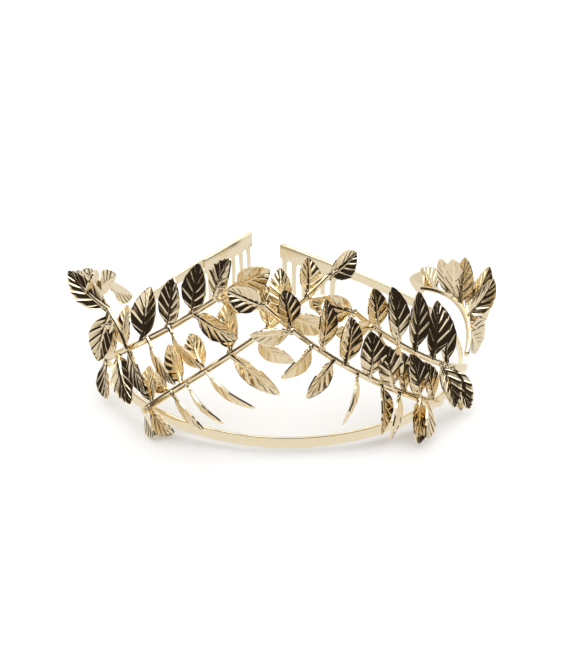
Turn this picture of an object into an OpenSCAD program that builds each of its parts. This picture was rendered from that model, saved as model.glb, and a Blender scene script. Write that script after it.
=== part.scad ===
// Leaf circlet: a strip band open at the back, two hair combs and six stamped leaf sprays.
// The sprays are laid out on a wall that rises beside the band's outer face. A place on it is
// [run, rise, out]: distance along the band from the front (right is positive), height above
// the band's lower edge, and distance out from the wall, all in millimetres.

/* [Band] */
// Height of the strip
band_h = 5; // [4:0.5:7]
// Thickness of the strip
band_t = 1.2; // [0.8:0.1:2]
// Radius of the outer face round the front
front_r = 85; // [80:1:90]
// Radius of the outer face round both sides
side_r = 55; // [50:1:60]
// Radius of the slightly bowed arms
arm_r = 320; // [250:10:600]
// Turn of the front curve on the left, in degrees
front_turn_l = 53; // [50:1:56]
// Turn of the front curve on the right, in degrees
front_turn_r = 44; // [41:1:47]
// Turn of the left side curve, in degrees
side_turn_l = 66; // [62:1:70]
// Turn of the right side curve, in degrees
side_turn_r = 90; // [86:1:94]
// Length of the bowed arm on the left
arm_l = 54; // [46:1:58]
// Length of the bowed arm on the right
arm_r_len = 46; // [40:1:50]

/* [Combs] */
// Length of the straight end that carries each comb
comb_len = 36; // [30:6:42]
// Distance from tooth to tooth
tooth_pitch = 6; // [6:0.5:7]
// Width of one tooth
tooth_w = 3.2; // [2.6:0.2:3.6]
// Depth of the comb's spine
spine_h = 8; // [7:0.5:9]
// Reach of the teeth below the band
tooth_drop = 22; // [18:1:26]
// Thickness of the comb plate
comb_t = 1; // [0.8:0.1:1.4]

/* [Sprays] */
// Inward lean of the leaf wall, in degrees
wall_lean = 20; // [15:1:25]
// Radius of a stem at its foot
stem_r = 1.2; // [1:0.1:1.2]
// Width of a leaf
leaf_w = 10; // [8:0.5:11]
// Thickness of a leaf
leaf_t = 0.8; // [0.6:0.1:1]
// Height of a leaf's edges above its midrib
leaf_cup = 1; // [0.4:0.2:1.4]

/* [Stance] */
// Distance between the front edge and the foremost teeth that it stands on
stance = 134; // [130:1:140]

/* [Hidden] */

gold = [0.86, 0.77, 0.56];
// Centre of the front curve, and the shift that puts the origin under the middle of the whole
front_c = [2, 3.4];
centre_shift = [-3.7, 2, 0.3];
tilt = atan(tooth_drop / stance);
stem_steps = 14;
leaf_rows = 6;
side_lean = 0;
// Straight facets of the strip on each half: round the front, round the side and along the arm
band_steps = [20, 20, 6];

// Each spray: three control places of its stem, its lean, its tip leaf, and its leaves.
// A leaf is [distance along the stem, side, angle from the stem, length, lift, twist].
left_lower = [[[-63, 2, 1.5], [-38, 31, 1], [21, 65, 0.5]], wall_lean,
    [16, -15, -25, 15],
    [[9, 1, 80, 16, -15, -5], [20, 1, 110, 18, -30, -10], [29, 1, 100, 20, -25, -5],
     [41, 1, 95, 18, -25, 0], [55, 1, 65, 21, -20, -15], [72, 1, 60, 17, -10, 55],
     [80, 1, 60, 18, -20, -30], [89, 1, 45, 15, -15, 35],
     [2, -1, 55, 17, 20, 10], [6, -1, 60, 18, 10, 20], [22, -1, 70, 21, 5, 40],
     [31, -1, 75, 22, 0, 50], [42, -1, 70, 24, -5, 50], [55, -1, 75, 24, -5, 30],
     [67, -1, 80, 19, -20, 35], [81, -1, 65, 21, -20, 30], [89, -1, 55, 15, -30, 45]]];
left_upper = [[[-103, 3, 1.5], [-52, 44, 4], [-24, 63, 3]], wall_lean,
    [15, -10, 15, 25],
    [[23, 1, 90, 19, -10, 5], [34, 1, 70, 22, -10, 25], [49, 1, 50, 21, 5, 0],
     [64, 1, 50, 20, 0, 0], [79, 1, 30, 19, 15, -25],
     [6, -1, 70, 19, 0, -10], [17, -1, 75, 23, 0, -30], [24, -1, 65, 23, 5, 10],
     [37, -1, 65, 24, 5, 30], [50, -1, 65, 23, 5, 35], [65, -1, 55, 21, 0, 20],
     [80, -1, 40, 15, -5, 45]]];
left_side = [[[-77, 24, -2], [-88, 50, -2], [-134, 20, 3]], side_lean,
    [18, -10, -10, -35],
    [[26, 1, 25, 23, 25, 45], [32, 1, 25, 20, 20, 25], [36, 1, 20, 20, 10, 30],
     [42, 1, 135, 19, 10, -35], [52, 1, 20, 15, -20, -5],
     [23, -1, 105, 23, 20, -35], [17, -1, 105, 20, 10, -15]]];
right_lower = [[[68, 3, 1.5], [32, 28, 8], [-11, 59, 8]], wall_lean,
    [14, -20, 10, -10],
    [[82, 1, 40, 15, 0, 40], [68, 1, 60, 20, 0, 40], [57, 1, 65, 19, 0, 20],
     [45, 1, 60, 19, 5, 0], [33, 1, 50, 19, 5, -5], [26, 1, 60, 17, 0, 20],
     [17, 1, 55, 19, 0, 0], [7, 1, 50, 19, 0, 10],
     [81, -1, 45, 16, 5, -40], [72, -1, 85, 17, 5, -45], [62, -1, 85, 18, 10, -35],
     [51, -1, 105, 21, 5, -55], [39, -1, 115, 20, 10, -35], [29, -1, 100, 19, 5, -35],
     [17, -1, 85, 19, 25, 0], [12, -1, 60, 20, 35, -5]]];
right_upper = [[[96, 3, 1.5], [58, 27, 1.5], [31, 51, 1.5]], wall_lean,
    [17, -25, -5, -10],
    [[64, 1, 45, 17, 5, 15], [52, 1, 50, 23, 5, 5], [42, 1, 70, 24, 0, 0],
     [31, 1, 80, 24, 0, -15], [21, 1, 75, 24, 0, -5],
     [67, -1, 40, 16, -5, -35], [62, -1, 110, 18, -15, -25], [51, -1, 105, 15, -20, -25],
     [25, -1, 110, 19, 20, 10], [21, -1, 115, 20, 15, 0], [16, -1, 105, 19, 20, 20]]];
right_side = [[[98, 9, 1.5], [126, 20, 4], [152, 9, 3]], side_lean,
    [16, 5, 30, 15],
    [[24, 1, 60, 23, 35, 35], [20, 1, 70, 21, 35, 25], [29, 1, 70, 22, 10, 25],
     [35, 1, 85, 20, 0, 30], [41, 1, 75, 17, 0, 20], [49, 1, 20, 18, 20, 25],
     [20, -1, 20, 23, 45, 5], [16, -1, 65, 21, 30, 20], [12, -1, 75, 19, 20, 30]]];

// Distance from the front at which the side curve ends on one side
function side_sign(run) = run < 0 ? -1 : 1;
function front_turn(sg) = sg < 0 ? front_turn_l : front_turn_r;
function side_turn(sg) = sg < 0 ? side_turn_l : side_turn_r;
function arm_len(sg) = sg < 0 ? arm_l : arm_r_len;
function arc(r, deg) = r * deg * PI / 180;
function turn(r, d) = d / r * 180 / PI;

// Heading of the band in degrees at a distance along it, before mirroring
function heading(d, sg) = let (a = arc(front_r, front_turn(sg)), b = arc(side_r, side_turn(sg)))
    turn(front_r, min(d, a)) + turn(side_r, min(max(d - a, 0), b))
    + turn(arm_r, min(max(d - a - b, 0), arm_len(sg)));
// Step along an arc of radius r from heading h over a turn of t
function arc_step(r, h, t) = r * [sin(h + t) - sin(h), cos(h) - cos(h + t)];
// Place on the outer face at a distance along it, before mirroring, from the front point
function along(d, sg) =
    let (a = arc(front_r, front_turn(sg)), b = arc(side_r, side_turn(sg)), c = arm_len(sg),
         t1 = turn(front_r, min(d, a)), t2 = turn(side_r, min(max(d - a, 0), b)),
         t3 = turn(arm_r, min(max(d - a - b, 0), c)), e = max(d - a - b - c, 0),
         h = t1 + t2 + t3)
    arc_step(front_r, 0, t1) + arc_step(side_r, t1, t2) + arc_step(arm_r, t1 + t2, t3)
    + e * [cos(h), sin(h)];
// Place on the outer face for a signed run, and the outward direction there
function face(run) = let (sg = side_sign(run), p = along(abs(run), sg))
    [front_c.x + sg * p.x, front_c.y - front_r + p.y];
function outward(run) = let (sg = side_sign(run), h = heading(abs(run), sg))
    [sg * sin(h), -cos(h)];

// Point of the wall in space: upright beside the band, and leaning inwards above it
function wall(p, lean) =
    let (f = face(p.x), n = outward(p.x), o = p.z - max(p.y - band_h, 0) * tan(lean))
    [f.x + n.x * o, f.y + n.y * o, p.y];
function bez(c, u) = (1 - u) * (1 - u) * c[0] + 2 * u * (1 - u) * c[1] + u * u * c[2];
function unit(v) = v / norm(v);
function stem_pt(sp, u) = wall(bez(sp[0], u), sp[1]);
function stem_len(sp) = let (n = 40) sum([for (i = [1:n])
    norm(stem_pt(sp, i / n) - stem_pt(sp, (i - 1) / n))]);
function sum(v, i = 0) = i < len(v) ? v[i] + sum(v, i + 1) : 0;
function stem_dir(sp, u) = unit(stem_pt(sp, min(u + 0.01, 1)) - stem_pt(sp, max(u - 0.01, 0)));

// Axes of a leaf: its own direction, its width and its face
function leaf_axes(sp, u, side, angle, lift, twist) =
    let (s = stem_dir(sp, u), n2 = outward(bez(sp[0], u).x),
         up = [-n2.x * sin(sp[1]), -n2.y * sin(sp[1]), cos(sp[1])],
         n1 = [n2.x * cos(sp[1]), n2.y * cos(sp[1]), sin(sp[1])],
         n = unit(n1 - s * (n1 * s)), c = cross(n, s), v = c * up < 0 ? -c : c,
         d = cos(angle) * s + side * sin(angle) * v,
         dir = cos(lift) * d + sin(lift) * n, nn = cos(lift) * n - sin(lift) * d,
         w = cross(nn, dir))
    [dir, cos(twist) * w + sin(twist) * nn, cos(twist) * nn - sin(twist) * w];

// Half width of a leaf at a fraction of its length: ovate, with a pointed tip
function half_w(f) = leaf_w / 2 * pow(sin(180 * pow(f, 0.8)), 0.8) + 0.35;

// One leaf: a thin shell folded along its midrib, closed all round
module leaf(base, axes, length) {
    side_pts = [for (k = [0, 1], i = [0:leaf_rows], j = [-1, 0, 1])
        let (f = i / leaf_rows, y = j * half_w(f), z = abs(j) * leaf_cup + (k - 0.5) * leaf_t)
        base + axes[0] * (f * length) + axes[1] * y + axes[2] * z];
    row = 3;
    layer = row * (leaf_rows + 1);
    last = row * leaf_rows;
    polyhedron(side_pts, concat(
        [for (i = [0:leaf_rows - 1], j = [0, 1]) let (a = row * i + j) [a, a + row, a + row + 1, a + 1]],
        [for (i = [0:leaf_rows - 1], j = [0, 1]) let (a = layer + row * i + j)
            [a, a + 1, a + row + 1, a + row]],
        [for (i = [0:leaf_rows - 1]) let (a = row * i) [a, a + layer, a + layer + row, a + row]],
        [for (i = [0:leaf_rows - 1]) let (a = row * i + 2) [a, a + row, a + layer + row, a + layer]],
        [for (j = [0, 1]) [j, j + 1, j + layer + 1, j + layer]],
        [for (j = [0, 1]) let (a = last + j) [a, a + layer, a + layer + 1, a + 1]]));
}

// One spray: a round stem that tapers to its tip leaf, with leaves along both sides
module spray(sp) {
    total = stem_len(sp);
    color(gold) {
        for (i = [0:stem_steps - 1]) hull() for (k = [i, i + 1])
            translate(stem_pt(sp, k / stem_steps))
                sphere(r = stem_r * (1 - 0.4 * k / stem_steps), $fn = 8);
        tip = sp[2];
        leaf(stem_pt(sp, 1) - stem_dir(sp, 1) * stem_r,
             leaf_axes(sp, 1, 1, tip[1], tip[2], tip[3]), tip[0] + stem_r);
        for (l = sp[3]) let (u = min(l[0] / total, 1))
            leaf(stem_pt(sp, u), leaf_axes(sp, u, l[1], l[2], l[4], l[5]), l[3]);
    }
}

// Everything is laid out with the band level, then stood on its front edge and its teeth
module stand() {
    translate(centre_shift) translate([0, 0, (front_r - front_c.y) * sin(tilt)])
        rotate([tilt, 0, 0]) children();
}

// Runs along one half of the band at which its outline bends, from the front to its end
function half_runs(sg) =
    let (a = arc(front_r, front_turn(sg)), b = arc(side_r, side_turn(sg)), c = arm_len(sg),
         ends = [0, a, a + b, a + b + c])
    [for (k = [0:2], i = [0:band_steps[k] - 1])
        sg * (ends[k] + (ends[k + 1] - ends[k]) * i / band_steps[k]),
     sg * ends[3], sg * (ends[3] + comb_len)];
function reversed(v) = [for (i = [len(v) - 1:-1:0]) v[i]];

// Plan of the strip: its outer face from left to right, then its inner face back
module band() {
    right = half_runs(1);
    runs = concat(reversed(half_runs(-1)), [for (i = [1:len(right) - 1]) right[i]]);
    color(gold) stand() linear_extrude(band_h) polygon(concat([for (r = runs) face(r)],
        [for (r = reversed(runs)) face(r) - outward(r) * band_t]));
}

// Flat outline of a comb: spine above, round-ended teeth below, arches between them
module comb_outline() {
    teeth = round(comb_len / tooth_pitch);
    gap = tooth_pitch - tooth_w;
    difference() {
        translate([0, -tooth_drop + tooth_w / 2]) square([comb_len, tooth_drop + band_h - tooth_w / 2]);
        for (i = [0:teeth]) translate([i * tooth_pitch, 0]) {
            translate([-gap / 2, -tooth_drop - 1]) square([gap, tooth_drop + 1 + band_h - spine_h]);
            translate([0, band_h - spine_h]) circle(d = gap, $fn = 32);
        }
    }
    for (i = [0:teeth - 1])
        translate([(i + 0.5) * tooth_pitch, -tooth_drop + tooth_w / 2]) circle(d = tooth_w, $fn = 32);
}

module comb(sg) {
    run = arc(front_r, front_turn(sg)) + arc(side_r, side_turn(sg)) + arm_len(sg);
    p = along(run, sg);
    color(gold) stand() translate([front_c.x, front_c.y - front_r])
        mirror([sg < 0 ? 1 : 0, 0, 0]) translate([p.x, p.y]) rotate(heading(run, sg))
            translate([0, band_t + comb_t, 0]) rotate([90, 0, 0]) linear_extrude(comb_t) comb_outline();
}

module comb_left() comb(-1);
module comb_right() comb(1);
module spray_left_lower() stand() spray(left_lower);
module spray_left_upper() stand() spray(left_upper);
module spray_left_side() stand() spray(left_side);
module spray_right_lower() stand() spray(right_lower);
module spray_right_upper() stand() spray(right_upper);
module spray_right_side() stand() spray(right_side);

band();
comb_left();
comb_right();
spray_left_lower();
spray_left_upper();
spray_left_side();
spray_right_lower();
spray_right_upper();
spray_right_side();
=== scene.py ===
"""Looks of the leaf circlet: polished gold-plated band, combs and stamped leaf sprays.

Lengths in the layout below are millimetres, as in the part's own dimensions, with the band level.
place() stands everything on the band's front edge and the comb teeth and turns it into metres.
"""
import math

import bmesh
import bpy
import numpy as np
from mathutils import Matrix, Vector


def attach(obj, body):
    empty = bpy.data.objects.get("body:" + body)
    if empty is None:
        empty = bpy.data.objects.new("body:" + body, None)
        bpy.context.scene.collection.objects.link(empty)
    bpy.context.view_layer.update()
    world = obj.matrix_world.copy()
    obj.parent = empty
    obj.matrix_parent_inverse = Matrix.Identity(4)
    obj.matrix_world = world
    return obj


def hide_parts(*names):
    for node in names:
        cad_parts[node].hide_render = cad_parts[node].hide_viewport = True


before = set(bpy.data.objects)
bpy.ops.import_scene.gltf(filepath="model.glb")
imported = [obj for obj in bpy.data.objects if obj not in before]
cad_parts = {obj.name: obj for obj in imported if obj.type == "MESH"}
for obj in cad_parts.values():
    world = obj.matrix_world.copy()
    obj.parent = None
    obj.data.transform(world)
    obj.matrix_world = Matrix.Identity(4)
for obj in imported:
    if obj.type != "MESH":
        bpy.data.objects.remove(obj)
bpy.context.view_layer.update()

# ---- driving dimensions, as the CAD part has them ----
BAND_H, BAND_T = 5.0, 1.2
FRONT_R, SIDE_R, ARM_R = 85.0, 55.0, 320.0
FRONT_TURN = {-1: math.radians(53), 1: math.radians(44)}
SIDE_TURN = {-1: math.radians(66), 1: math.radians(90)}
ARM_LEN = {-1: 54.0, 1: 46.0}
COMB_LEN, TOOTH_PITCH, TOOTH_W, SPINE_H, TOOTH_DROP, COMB_T = 36.0, 6.0, 3.2, 8.0, 22.0, 1.0
WALL_LEAN, SIDE_LEAN = math.radians(20), 0.0
STEM_R, LEAF_W = 1.2, 10.0
STANCE = 134.0
FRONT_C = np.array([2.0, 3.4])
CENTRE_SHIFT = np.array([-3.7, 2.0, 0.3])
TILT = math.atan(TOOTH_DROP / STANCE)
MM = 0.001

# Each spray: three control places of its stem [run, rise, out], its lean, its tip leaf, its leaves.
# A leaf is [distance along the stem, side, angle from the stem, length, lift, twist].
SPRAYS = {
    "spray_left_lower": [[[-63, 2, 1.5], [-38, 31, 1], [21, 65, 0.5]], WALL_LEAN,
        [16, -15, -25, 15],
        [[9, 1, 80, 16, -15, -5], [20, 1, 110, 18, -30, -10], [29, 1, 100, 20, -25, -5],
         [41, 1, 95, 18, -25, 0], [55, 1, 65, 21, -20, -15], [72, 1, 60, 17, -10, 55],
         [80, 1, 60, 18, -20, -30], [89, 1, 45, 15, -15, 35],
         [2, -1, 55, 17, 20, 10], [6, -1, 60, 18, 10, 20], [22, -1, 70, 21, 5, 40],
         [31, -1, 75, 22, 0, 50], [42, -1, 70, 24, -5, 50], [55, -1, 75, 24, -5, 30],
         [67, -1, 80, 19, -20, 35], [81, -1, 65, 21, -20, 30], [89, -1, 55, 15, -30, 45]]],
    "spray_left_upper": [[[-103, 3, 1.5], [-52, 44, 4], [-24, 63, 3]], WALL_LEAN,
        [15, -10, 15, 25],
        [[23, 1, 90, 19, -10, 5], [34, 1, 70, 22, -10, 25], [49, 1, 50, 21, 5, 0],
         [64, 1, 50, 20, 0, 0], [79, 1, 30, 19, 15, -25],
         [6, -1, 70, 19, 0, -10], [17, -1, 75, 23, 0, -30], [24, -1, 65, 23, 5, 10],
         [37, -1, 65, 24, 5, 30], [50, -1, 65, 23, 5, 35], [65, -1, 55, 21, 0, 20],
         [80, -1, 40, 15, -5, 45]]],
    "spray_left_side": [[[-77, 24, -2], [-88, 50, -2], [-134, 20, 3]], SIDE_LEAN,
        [18, -10, -10, -35],
        [[26, 1, 25, 23, 25, 45], [32, 1, 25, 20, 20, 25], [36, 1, 20, 20, 10, 30],
         [42, 1, 135, 19, 10, -35], [52, 1, 20, 15, -20, -5],
         [23, -1, 105, 23, 20, -35], [17, -1, 105, 20, 10, -15]]],
    "spray_right_lower": [[[68, 3, 1.5], [32, 28, 8], [-11, 59, 8]], WALL_LEAN,
        [14, -20, 10, -10],
        [[82, 1, 40, 15, 0, 40], [68, 1, 60, 20, 0, 40], [57, 1, 65, 19, 0, 20],
         [45, 1, 60, 19, 5, 0], [33, 1, 50, 19, 5, -5], [26, 1, 60, 17, 0, 20],
         [17, 1, 55, 19, 0, 0], [7, 1, 50, 19, 0, 10],
         [81, -1, 45, 16, 5, -40], [72, -1, 85, 17, 5, -45], [62, -1, 85, 18, 10, -35],
         [51, -1, 105, 21, 5, -55], [39, -1, 115, 20, 10, -35], [29, -1, 100, 19, 5, -35],
         [17, -1, 85, 19, 25, 0], [12, -1, 60, 20, 35, -5]]],
    "spray_right_upper": [[[96, 3, 1.5], [58, 27, 1.5], [31, 51, 1.5]], WALL_LEAN,
        [17, -25, -5, -10],
        [[64, 1, 45, 17, 5, 15], [52, 1, 50, 23, 5, 5], [42, 1, 70, 24, 0, 0],
         [31, 1, 80, 24, 0, -15], [21, 1, 75, 24, 0, -5],
         [67, -1, 40, 16, -5, -35], [62, -1, 110, 18, -15, -25], [51, -1, 105, 15, -20, -25],
         [25, -1, 110, 19, 20, 10], [21, -1, 115, 20, 15, 0], [16, -1, 105, 19, 20, 20]]],
    "spray_right_side": [[[98, 9, 1.5], [126, 20, 4], [152, 9, 3]], SIDE_LEAN,
        [16, 5, 30, 15],
        [[24, 1, 60, 23, 35, 35], [20, 1, 70, 21, 35, 25], [29, 1, 70, 22, 10, 25],
         [35, 1, 85, 20, 0, 30], [41, 1, 75, 17, 0, 20], [49, 1, 20, 18, 20, 25],
         [20, -1, 20, 23, 45, 5], [16, -1, 65, 21, 30, 20], [12, -1, 75, 19, 20, 30]]],
}


# ---- layout on the band ----
def plan(run):
    """Place on the band's outer face at a run from the front, and the outward direction there."""
    side = -1 if run < 0 else 1
    left, at, head = abs(run), np.zeros(2), 0.0
    arcs = ((FRONT_R, FRONT_TURN[side]), (SIDE_R, SIDE_TURN[side]), (ARM_R, ARM_LEN[side] / ARM_R))
    for r, sweep in arcs:
        t = min(left / r, sweep)
        at = at + r * np.array([math.sin(head + t) - math.sin(head), math.cos(head) - math.cos(head + t)])
        head += t
        left = max(left - r * sweep, 0)
    at = at + left * np.array([math.cos(head), math.sin(head)])
    place_xy = FRONT_C + np.array([side * at[0], at[1] - FRONT_R])
    return place_xy, np.array([side * math.sin(head), -math.cos(head)])


def wall(p, lean):
    """Point of the leaf wall: upright beside the band, and leaning inwards above it."""
    at, out = plan(p[0])
    q = at + out * (p[2] - max(p[1] - BAND_H, 0) * math.tan(lean))
    return np.array([q[0], q[1], p[1]])


def bez(c, u):
    c = np.asarray(c, float)
    return (1 - u) ** 2 * c[0] + 2 * u * (1 - u) * c[1] + u * u * c[2]


def unit(v):
    return v / np.linalg.norm(v)


def stem_pt(spray, u):
    return wall(bez(spray[0], u), spray[1])


def stem_dir(spray, u):
    return unit(stem_pt(spray, min(u + 0.01, 1)) - stem_pt(spray, max(u - 0.01, 0)))


def stem_len(spray, steps=40):
    pts = np.array([stem_pt(spray, i / steps) for i in range(steps + 1)])
    return np.linalg.norm(np.diff(pts, axis=0), axis=1).sum()


def wall_normal(spray, u):
    """Outward normal of the leaning wall where the stem is, square to the stem."""
    out = plan(bez(spray[0], u)[0])[1]
    lean = spray[1]
    n = np.array([out[0] * math.cos(lean), out[1] * math.cos(lean), math.sin(lean)])
    s = stem_dir(spray, u)
    return unit(n - s * (n @ s))


def leaf_axes(spray, u, side, angle, lift, twist):
    """A leaf's own direction, its width and its face."""
    angle, lift, twist = (math.radians(a) for a in (angle, lift, twist))
    s, n = stem_dir(spray, u), wall_normal(spray, u)
    out, lean = plan(bez(spray[0], u)[0])[1], spray[1]
    up = np.array([-out[0] * math.sin(lean), -out[1] * math.sin(lean), math.cos(lean)])
    v = np.cross(n, s)
    v = -v if v @ up < 0 else v
    d = math.cos(angle) * s + side * math.sin(angle) * v
    along = math.cos(lift) * d + math.sin(lift) * n
    face = math.cos(lift) * n - math.sin(lift) * d
    w = np.cross(face, along)
    turned_w = math.cos(twist) * w + math.sin(twist) * face
    turned_face = math.cos(twist) * face - math.sin(twist) * w
    return along, turned_w, turned_face


def place(points):
    """Stands level millimetre points on the surface, and gives metres."""
    p = np.asarray(points, float)
    c, s = math.cos(TILT), math.sin(TILT)
    rise = (FRONT_R - FRONT_C[1]) * s
    stood = np.stack([p[:, 0], c * p[:, 1] - s * p[:, 2], s * p[:, 1] + c * p[:, 2] + rise], 1)
    return (stood + CENTRE_SHIFT) * MM


# ---- meshes ----
def grid_faces(rows, cols, start=0, wrap=False, flip=False):
    """Quads of a grid of rows x cols points, closed round its columns if wrap."""
    faces = []
    for i in range(rows - 1):
        for j in range(cols if wrap else cols - 1):
            k = (j + 1) % cols
            low, high = start + i * cols, start + (i + 1) * cols
            q = [low + j, low + k, high + k, high + j]
            faces.append(q[::-1] if flip else q)
    return faces


class Shell:
    """Points, faces and a painted shading value per point (painted shade in hollows, painted highlight on
    ridges), gathered into one mesh.
    """

    def __init__(self):
        self.points, self.faces, self.relief_shading = [], [], []

    def add(self, points, faces, relief_shading=None):
        base = len(self.points)
        self.points.extend(points)
        self.faces.extend([[base + i for i in f] for f in faces])
        # Points without their own value get 0.5: plain gold tone, with no painted shade or highlight.
        self.relief_shading.extend([0.5] * len(points) if relief_shading is None else relief_shading)

    def tube(self, rings):
        """A closed tube through rings of points, capped at both ends."""
        rows, cols = len(rings), len(rings[0])
        faces = grid_faces(rows, cols, wrap=True)
        faces += [list(range(cols))[::-1], [(rows - 1) * cols + i for i in range(cols)]]
        self.add([p for ring in rings for p in ring], faces)

    def build(self, name, material, node):
        mesh = bpy.data.meshes.new(name)
        mesh.from_pydata(place(self.points).tolist(), [], self.faces)
        mesh.validate()
        solid = bmesh.new()
        solid.from_mesh(mesh)
        bmesh.ops.recalc_face_normals(solid, faces=solid.faces)
        solid.to_mesh(mesh)
        solid.free()
        # The painted shading values go on the mesh for the gold material to colour by.
        layer = mesh.attributes.new("relief_shading", "FLOAT", "POINT")
        layer.data.foreach_set("value", np.array(self.relief_shading, np.float32))
        mesh.materials.append(material)
        mesh.polygons.foreach_set("use_smooth", [True] * len(mesh.polygons))
        mesh.set_sharp_from_angle(angle=math.radians(50))
        piece = bpy.data.objects.new(name, mesh)
        bpy.context.scene.collection.objects.link(piece)
        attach(piece, "root")
        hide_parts(node)
        return piece


# ---- leaves ----
LEAF_T = 0.5
VEINS = 7
ROWS = (0.0, 0.06, 0.13, 0.34, 0.66, 0.87, 0.94)
ACROSS = (0.0, 0.05, 0.11, 0.17, 0.3, 0.46, 0.62, 0.78, 0.9, 0.96, 1.0)
STALK = 2.2
SWEEP = 2.2


def half_width(f, length):
    """Half width of a leaf: a stalk that flares into the stem, a full oval blade and a blunt point."""
    x = f * length
    g = min(max((x - STALK) / (length - STALK), 0), 1)
    blade = (LEAF_W / 2 + 0.25) * max(0.0, math.sin(math.pi * g ** 0.86)) ** 0.68
    stalk = (0.6 + 1.1 * math.exp(-max(x - 0.9, 0) / 0.7)) * (1 - g) ** 2
    return blade + stalk


def leaf(shell, base, axes, length, curl, sway, seed):
    """A stamped leaf: a folded blade with a flat raised midrib and side veins that sweep to the margin."""
    sides = [-a for a in ACROSS[:0:-1]] + list(ACROSS)
    steps = [(k + r) / VEINS for k in range(VEINS) for r in ROWS] + [1.0]
    top, low, relief_shading = [], [], []
    fold = 0.20 + 0.05 * math.sin(seed * 1.7)
    for s in steps:
        end = 1 - (1 - s) ** SWEEP
        phase = s * VEINS
        near = abs(phase - round(phase))
        vein = max(0.0, 1 - near / 0.13) if 0 < round(phase) < VEINS else 0.0
        facet = phase - math.floor(phase) - 0.5
        fade = min(1, 4 * s, 5 * (1 - s))
        for t in sides:
            a = abs(t)
            f = s + (end - s) * a ** 1.1
            y = t * half_width(end, length) * (1 + 0.02 * math.cos(2 * math.pi * phase) * a ** 4 * fade)
            rib_w = 0.3 + 0.35 * (1 - s)
            rib = (0.18 + 0.7 * (1 - s) ** 2) * math.exp(-(y / rib_w) ** 4)
            lane = min(1, max(0, (abs(y) - rib_w) / 0.35)) * min(1, (1 - a) / 0.08)
            ridge = (0.24 * vein + 0.07 * facet) * fade * lane
            rim = 0.10 * math.exp(-((1 - a) / 0.05) ** 2)
            cup = fold * abs(y) + 0.25 * (abs(y) / (LEAF_W / 2)) ** 3
            bend = curl * length * (math.sin(math.pi * f) - 0.9 * f * f)
            drift = sway * length * math.sin(math.pi * f)
            p = base + axes[0] * (f * length) + axes[1] * (y + drift)
            top.append(p + axes[2] * (cup + rib + ridge + rim + bend + LEAF_T / 2))
            low.append(p + axes[2] * (cup + rib * 0.3 + ridge * 0.7 + bend - LEAF_T / 2))
            # Painted shading of the blade: painted highlight on the vein ridges, the midrib and the rim,
            # and painted shade in the panels between the veins.
            relief_shading.append(min(1, 0.3 + 2.2 * max(ridge, 0) + 0.9 * rib + 1.5 * rim))
    cols, rows = len(sides), len(steps)
    n = len(top)
    faces = grid_faces(rows, cols, flip=True) + grid_faces(rows, cols, start=n)
    for i in range(rows - 1):
        a, b = i * cols, (i + 1) * cols
        faces.append([a, b, b + n, a + n])
        a, b = a + cols - 1, b + cols - 1
        faces.append([a, a + n, b + n, b])
    for j in range(cols - 1):
        faces.append([j, j + n, j + 1 + n, j + 1])
        k = (rows - 1) * cols + j
        faces.append([k, k + 1, k + 1 + n, k + n])
    shell.add(top + low, faces, relief_shading + relief_shading)


def flat_oval(a, power=0.75):
    """Cosine and sine of an angle, pushed out towards a rounded rectangle."""
    c, s = math.cos(a), math.sin(a)
    return math.copysign(abs(c) ** power, c), math.copysign(abs(s) ** power, s)


def stem(shell, spray):
    """A flattened stem, its broad face turned a little down, that tapers towards its tip leaf."""
    steps, sides = 72, 20
    roll = math.radians(24)
    rings = []
    for i in range(-2, steps + 1):
        u = max(i, 0) / steps
        at, along, n = stem_pt(spray, u), stem_dir(spray, u), wall_normal(spray, u)
        across = np.cross(n, along)
        across = -across if across[2] < 0 else across
        broad = across * math.cos(roll) + n * math.sin(roll)
        thick = n * math.cos(roll) - across * math.sin(roll)
        r = STEM_R * (1.1 - 0.35 * u) * (1, 0.9, 0.55)[max(-i, 0)]
        at = at + along * (0, -0.7, -1.0)[max(-i, 0)]
        ring = []
        for k in range(sides):
            c, s = flat_oval(2 * math.pi * k / sides)
            ring.append(at + broad * (r * 1.15 * c) + thick * (r * 0.75 * s))
        rings.append(ring)
    shell.tube(rings)


def spray_piece(node, spray, material):
    shell = Shell()
    stem(shell, spray)
    total = stem_len(spray)
    length, angle, lift, twist = spray[2]
    start = stem_pt(spray, 1) - stem_dir(spray, 1) * STEM_R
    leaf(shell, start, leaf_axes(spray, 1, 1, angle, lift, twist), length + STEM_R, 0.03, 0.0, length)
    for k, (distance, side, angle, length, lift, twist) in enumerate(spray[3]):
        u = min(distance / total, 1)
        curl = 0.03 + 0.02 * math.sin(k * 2.3)
        sway = 0.03 * side * math.cos(k * 1.3)
        axes = leaf_axes(spray, u, side, angle, lift, twist)
        leaf(shell, stem_pt(spray, u), axes, length, curl, sway, k)
    piece = shell.build(node + "_leaves", material, node)
    return piece


# ---- band and combs ----
def rounded_box(half_w, half_h, r, steps=3):
    """Corner-rounded rectangle as offsets (w, h), anticlockwise."""
    pts = []
    for k, (sx, sy) in enumerate(((1, 1), (-1, 1), (-1, -1), (1, -1))):
        for i in range(steps + 1):
            a = math.pi / 2 * (k + i / steps)
            pts.append((sx * (half_w - r) + r * math.cos(a), sy * (half_h - r) + r * math.sin(a)))
    return pts


def half_run(side):
    return FRONT_R * FRONT_TURN[side] + SIDE_R * SIDE_TURN[side] + ARM_LEN[side] + COMB_LEN


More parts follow.
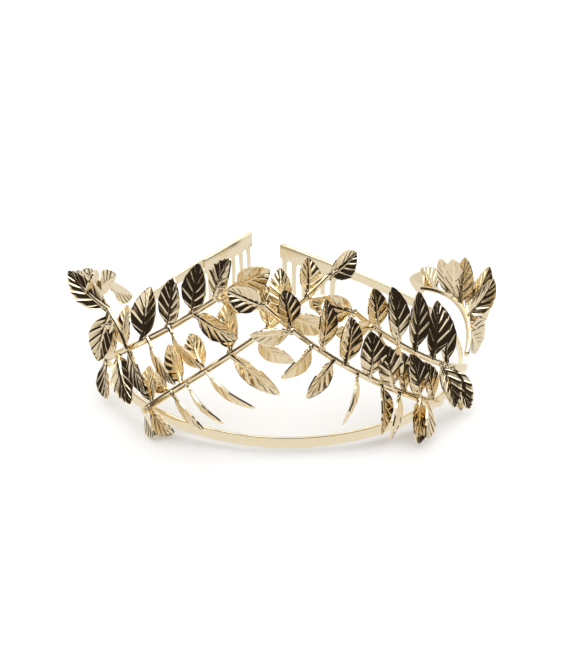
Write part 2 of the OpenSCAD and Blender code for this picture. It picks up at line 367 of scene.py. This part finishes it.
def band_piece(material):
    """The strip, with softly rounded edges."""
    shell, rings = Shell(), []
    first, last = -half_run(-1), half_run(1)
    section = rounded_box(BAND_T / 2, BAND_H / 2, 0.4, 4)
    steps = 260
    for i in range(steps + 1):
        at, out = plan(first + (last - first) * i / steps)
        trim = min(i, steps - i)
        ring = []
        for w, h in section:
            mid = at - out * BAND_T / 2
            shrink = 0.85 if trim == 0 else 1.0
            q = mid + out * w * shrink
            ring.append(np.array([q[0], q[1], BAND_H / 2 + h * shrink]))
        rings.append(ring[::-1])
    shell.tube(rings)
    piece = shell.build("band_strip", material, "band")
    return piece


def comb_piece(node, side, material):
    """Spine and tapered teeth, with round arches between the teeth's roots."""
    shell = Shell()
    start = half_run(side) - COMB_LEN
    at, out = plan(side * start)
    far, _ = plan(side * (start + COMB_LEN))
    along = np.append(unit(far - at), 0.0)
    inward = -np.append(out, 0.0)
    up = np.array([0.0, 0.0, 1.0])
    origin = np.append(at, 0.0) + inward * (BAND_T + COMB_T / 2)
    turn = 1 if np.cross(along, inward) @ up > 0 else -1

    def bar(ring_list):
        shell.tube([ring[::turn] for ring in ring_list])

    spine = rounded_box(COMB_T / 2, SPINE_H / 2, 0.35, 3)
    mid = BAND_H - SPINE_H / 2
    bar([[origin + along * d + inward * w * k + up * (mid + h * k) for w, h in spine]
         for d, k in ((0, 0.85), (0.3, 1), (COMB_LEN - 0.3, 1), (COMB_LEN, 0.85))])
    root = BAND_H - SPINE_H + 0.4
    gap = TOOTH_PITCH - TOOTH_W
    teeth = round(COMB_LEN / TOOTH_PITCH)
    steps = 28
    for i in range(teeth):
        rings = []
        for k in range(steps + 1):
            f = k / steps
            z = root - f * (root + TOOTH_DROP)
            depth = root - z
            arch = gap / 2 - math.sqrt(max(0, (gap / 2) ** 2 - max(gap / 2 + 0.4 - depth, 0) ** 2)) \
                if depth < gap / 2 + 0.4 else 0
            tip = 1 - max(0, (f - 0.93) / 0.07) ** 2 * 0.75
            w = (TOOTH_W / 2 * (1 - 0.3 * f) + arch) * tip
            t = COMB_T / 2 * (1 - 0.25 * f) * (0.4 + 0.6 * tip)
            bow = 1.1 * math.sin(math.pi * f) - 0.4 * f
            centre = origin + along * ((i + 0.5) * TOOTH_PITCH) + up * z + inward * bow * 0.5
            rings.append([centre + along * w * math.cos(2 * math.pi * a / 12)
                          + inward * t * math.sin(2 * math.pi * a / 12) for a in range(12)])
        bar(rings)
    piece = shell.build(node + "_plate", material, node)
    return piece


# ---- materials ----
def link(tree, a, out, b, into):
    tree.links.new(a.outputs[out], b.inputs[into])


def noise(tree, coords, scale, detail, rough=0.5):
    n = tree.nodes.new("ShaderNodeTexNoise")
    n.inputs["Scale"].default_value = scale
    n.inputs["Detail"].default_value = detail
    n.inputs["Roughness"].default_value = rough
    link(tree, coords, "Object", n, "Vector")
    return n


def ramp(tree, source, out, stops):
    r = tree.nodes.new("ShaderNodeValToRGB")
    while len(r.color_ramp.elements) < len(stops):
        r.color_ramp.elements.new(0.5)
    for element, (position, colour) in zip(r.color_ramp.elements, stops):
        element.position = position
        element.color = (*colour, 1)
    link(tree, source, out, r, "Fac")
    return r


def gold(name, light, shade_tone, rough, grain):
    """Plated gold: painted shade in the recesses and painted highlight on raised veins, midribs and rims,
    cloudy plating, fine polishing marks.
    """
    material = bpy.data.materials.new(name)
    material.use_nodes = True
    tree = material.node_tree
    shader = tree.nodes["Principled BSDF"]
    shader.inputs["Metallic"].default_value = 1.0
    coords = tree.nodes.new("ShaderNodeTexCoord")
    # Reads the painted shading values that the meshes carry.
    relief_shading = tree.nodes.new("ShaderNodeAttribute")
    relief_shading.attribute_name = "relief_shading"
    cloud = noise(tree, coords, 140, 3)
    mix = tree.nodes.new("ShaderNodeMath")
    mix.operation = "MULTIPLY_ADD"
    mix.inputs[1].default_value = 0.25
    link(tree, cloud, "Fac", mix, 0)
    link(tree, relief_shading, "Fac", mix, 2)
    # Colour: the shade tone is painted shade where the painted shading value is low, the light tone a
    # painted highlight where it is high; the cloud adds random plating tone.
    colour = ramp(tree, mix, "Value", [(0.2, shade_tone), (0.5, light), (1.0, light)])
    link(tree, colour, "Color", shader, "Base Color")
    smear = noise(tree, coords, 420, 4, 0.6)
    gloss = tree.nodes.new("ShaderNodeMapRange")
    gloss.inputs["To Min"].default_value = rough * 0.7
    gloss.inputs["To Max"].default_value = rough * 1.4
    link(tree, smear, "Fac", gloss, "Value")
    link(tree, gloss, "Result", shader, "Roughness")
    marks = noise(tree, coords, 2600, 2, 0.6)
    bump = tree.nodes.new("ShaderNodeBump")
    bump.inputs["Strength"].default_value = grain
    bump.inputs["Distance"].default_value = 0.0001
    link(tree, marks, "Fac", bump, "Height")
    link(tree, bump, "Normal", shader, "Normal")
    return material


def pale_floor():
    material = bpy.data.materials.new("pale_floor")
    material.use_nodes = True
    shader = material.node_tree.nodes["Principled BSDF"]
    shader.inputs["Base Color"].default_value = (0.93, 0.93, 0.93, 1)
    shader.inputs["Roughness"].default_value = 0.7
    shader.inputs["Specular IOR Level"].default_value = 0.1
    return material


# ---- stage ----
# The elevation is above the level band, and the distance and target are in metres.
CAMERA_ELEVATION, CAMERA_DISTANCE = math.radians(34), 0.5
CAMERA_TARGET = (-0.0037, 0.002, 0.0135)
FLOOR_HALF, FLOOR_DROP = 6.0, 0.0002


def camera():
    data = bpy.data.cameras.new("camera")
    data.sensor_width = 36.0
    data.lens = 60.0
    data.clip_start, data.clip_end = 0.01, 20
    cam = bpy.data.objects.new("camera", data)
    bpy.context.scene.collection.objects.link(cam)
    target = Vector(CAMERA_TARGET)
    elevation = CAMERA_ELEVATION - TILT
    back = Vector((0, -math.cos(elevation), math.sin(elevation)))
    cam.location = target + back * CAMERA_DISTANCE
    cam.rotation_mode = "QUATERNION"
    cam.rotation_quaternion = (-back).to_track_quat("-Z", "Y")
    bpy.context.scene.camera = cam


def floor():
    mesh = bpy.data.meshes.new("floor")
    corners = [(FLOOR_HALF * x, FLOOR_HALF * y, 0) for x, y in ((-1, -1), (1, -1), (1, 1), (-1, 1))]
    mesh.from_pydata(corners, [], [[0, 1, 2, 3]])
    mesh.materials.append(pale_floor())
    plane = bpy.data.objects.new("floor", mesh)
    bpy.context.scene.collection.objects.link(plane)
    plane.location.z = -FLOOR_DROP
    plane.visible_glossy = False


def studio_world():
    """A white sweep to the eye. The metal mirrors another room: dark, with a pale table, back and top."""
    world = bpy.data.worlds.new("studio")
    bpy.context.scene.world = world
    world.use_nodes = True
    tree = world.node_tree
    tree.nodes.clear()
    new = tree.nodes.new
    coords = new("ShaderNodeTexCoord")
    split = new("ShaderNodeSeparateXYZ")
    link(tree, coords, "Generated", split, "Vector")

    def smooth(source, out, low, high, at_low, at_high):
        r = new("ShaderNodeMapRange")
        r.interpolation_type = "SMOOTHSTEP"
        for name, value in zip(("From Min", "From Max", "To Min", "To Max"), (low, high, at_low, at_high)):
            r.inputs[name].default_value = value
        link(tree, source, out, r, "Value")
        return r

    def math_node(operation, a, b):
        m = new("ShaderNodeMath")
        m.operation = operation
        for i, source in enumerate((a, b)):
            if isinstance(source, (int, float)):
                m.inputs[i].default_value = source
            else:
                tree.links.new(source.outputs[0], m.inputs[i])
        return m

    table = smooth(split, "Z", -0.22, -0.4, 0.0, 0.9)
    back = smooth(split, "Y", 0.22, 0.42, 0.0, 0.9)
    above = smooth(split, "Z", 0.5, 0.68, 0.0, 1.0)
    light = math_node("MAXIMUM", math_node("MAXIMUM", table, back), above)
    stops = [(0.0, (0.024, 0.017, 0.013)), (0.3, (0.16, 0.12, 0.08)), (1.0, (1.0, 0.98, 0.95))]
    tone = ramp(tree, light, "Value", stops)
    mirrored = new("ShaderNodeBackground")
    mirrored.inputs["Strength"].default_value = 1.0
    link(tree, tone, "Color", mirrored, "Color")
    sweep = new("ShaderNodeBackground")
    sweep.inputs["Color"].default_value = (1, 1, 1, 1)
    sweep.inputs["Strength"].default_value = 1.3
    rays = new("ShaderNodeLightPath")
    choose = new("ShaderNodeMixShader")
    link(tree, rays, "Is Glossy Ray", choose, "Fac")
    tree.links.new(sweep.outputs[0], choose.inputs[1])
    tree.links.new(mirrored.outputs[0], choose.inputs[2])
    final = new("ShaderNodeOutputWorld")
    link(tree, choose, "Shader", final, "Surface")


def softbox(name, location, size, power, target=(0, 0, 0.03)):
    data = bpy.data.lights.new(name, "AREA")
    data.shape = "RECTANGLE"
    data.size, data.size_y = size
    data.energy = power
    lamp = bpy.data.objects.new(name, data)
    bpy.context.scene.collection.objects.link(lamp)
    lamp.location = location
    lamp.visible_diffuse = False
    lamp.rotation_mode = "QUATERNION"
    lamp.rotation_quaternion = (Vector(target) - Vector(location)).to_track_quat("-Z", "Y")


# ---- the object ----
# The second colour of each gold is its painted shade tone for the recesses; band and combs never reach it.
leaf_gold = gold("leaf_gold", (0.90, 0.78, 0.55), (0.60, 0.46, 0.27), 0.1, 0.08)
band_gold = gold("band_gold", (0.91, 0.80, 0.58), (0.76, 0.62, 0.40), 0.13, 0.06)
comb_gold = gold("comb_gold", (0.91, 0.80, 0.58), (0.76, 0.62, 0.40), 0.17, 0.06)
band_piece(band_gold)
comb_piece("comb_left", -1, comb_gold)
comb_piece("comb_right", 1, comb_gold)
for spray_node, spray_rows in SPRAYS.items():
    spray_piece(spray_node, spray_rows, leaf_gold)

camera()
floor()
studio_world()
softbox("key", (-0.35, -0.1, 0.9), (0.7, 0.7), 4)
softbox("fill", (0.5, 0.2, 0.8), (0.7, 0.7), 3)
bpy.context.scene.view_settings.view_transform = "Standard"
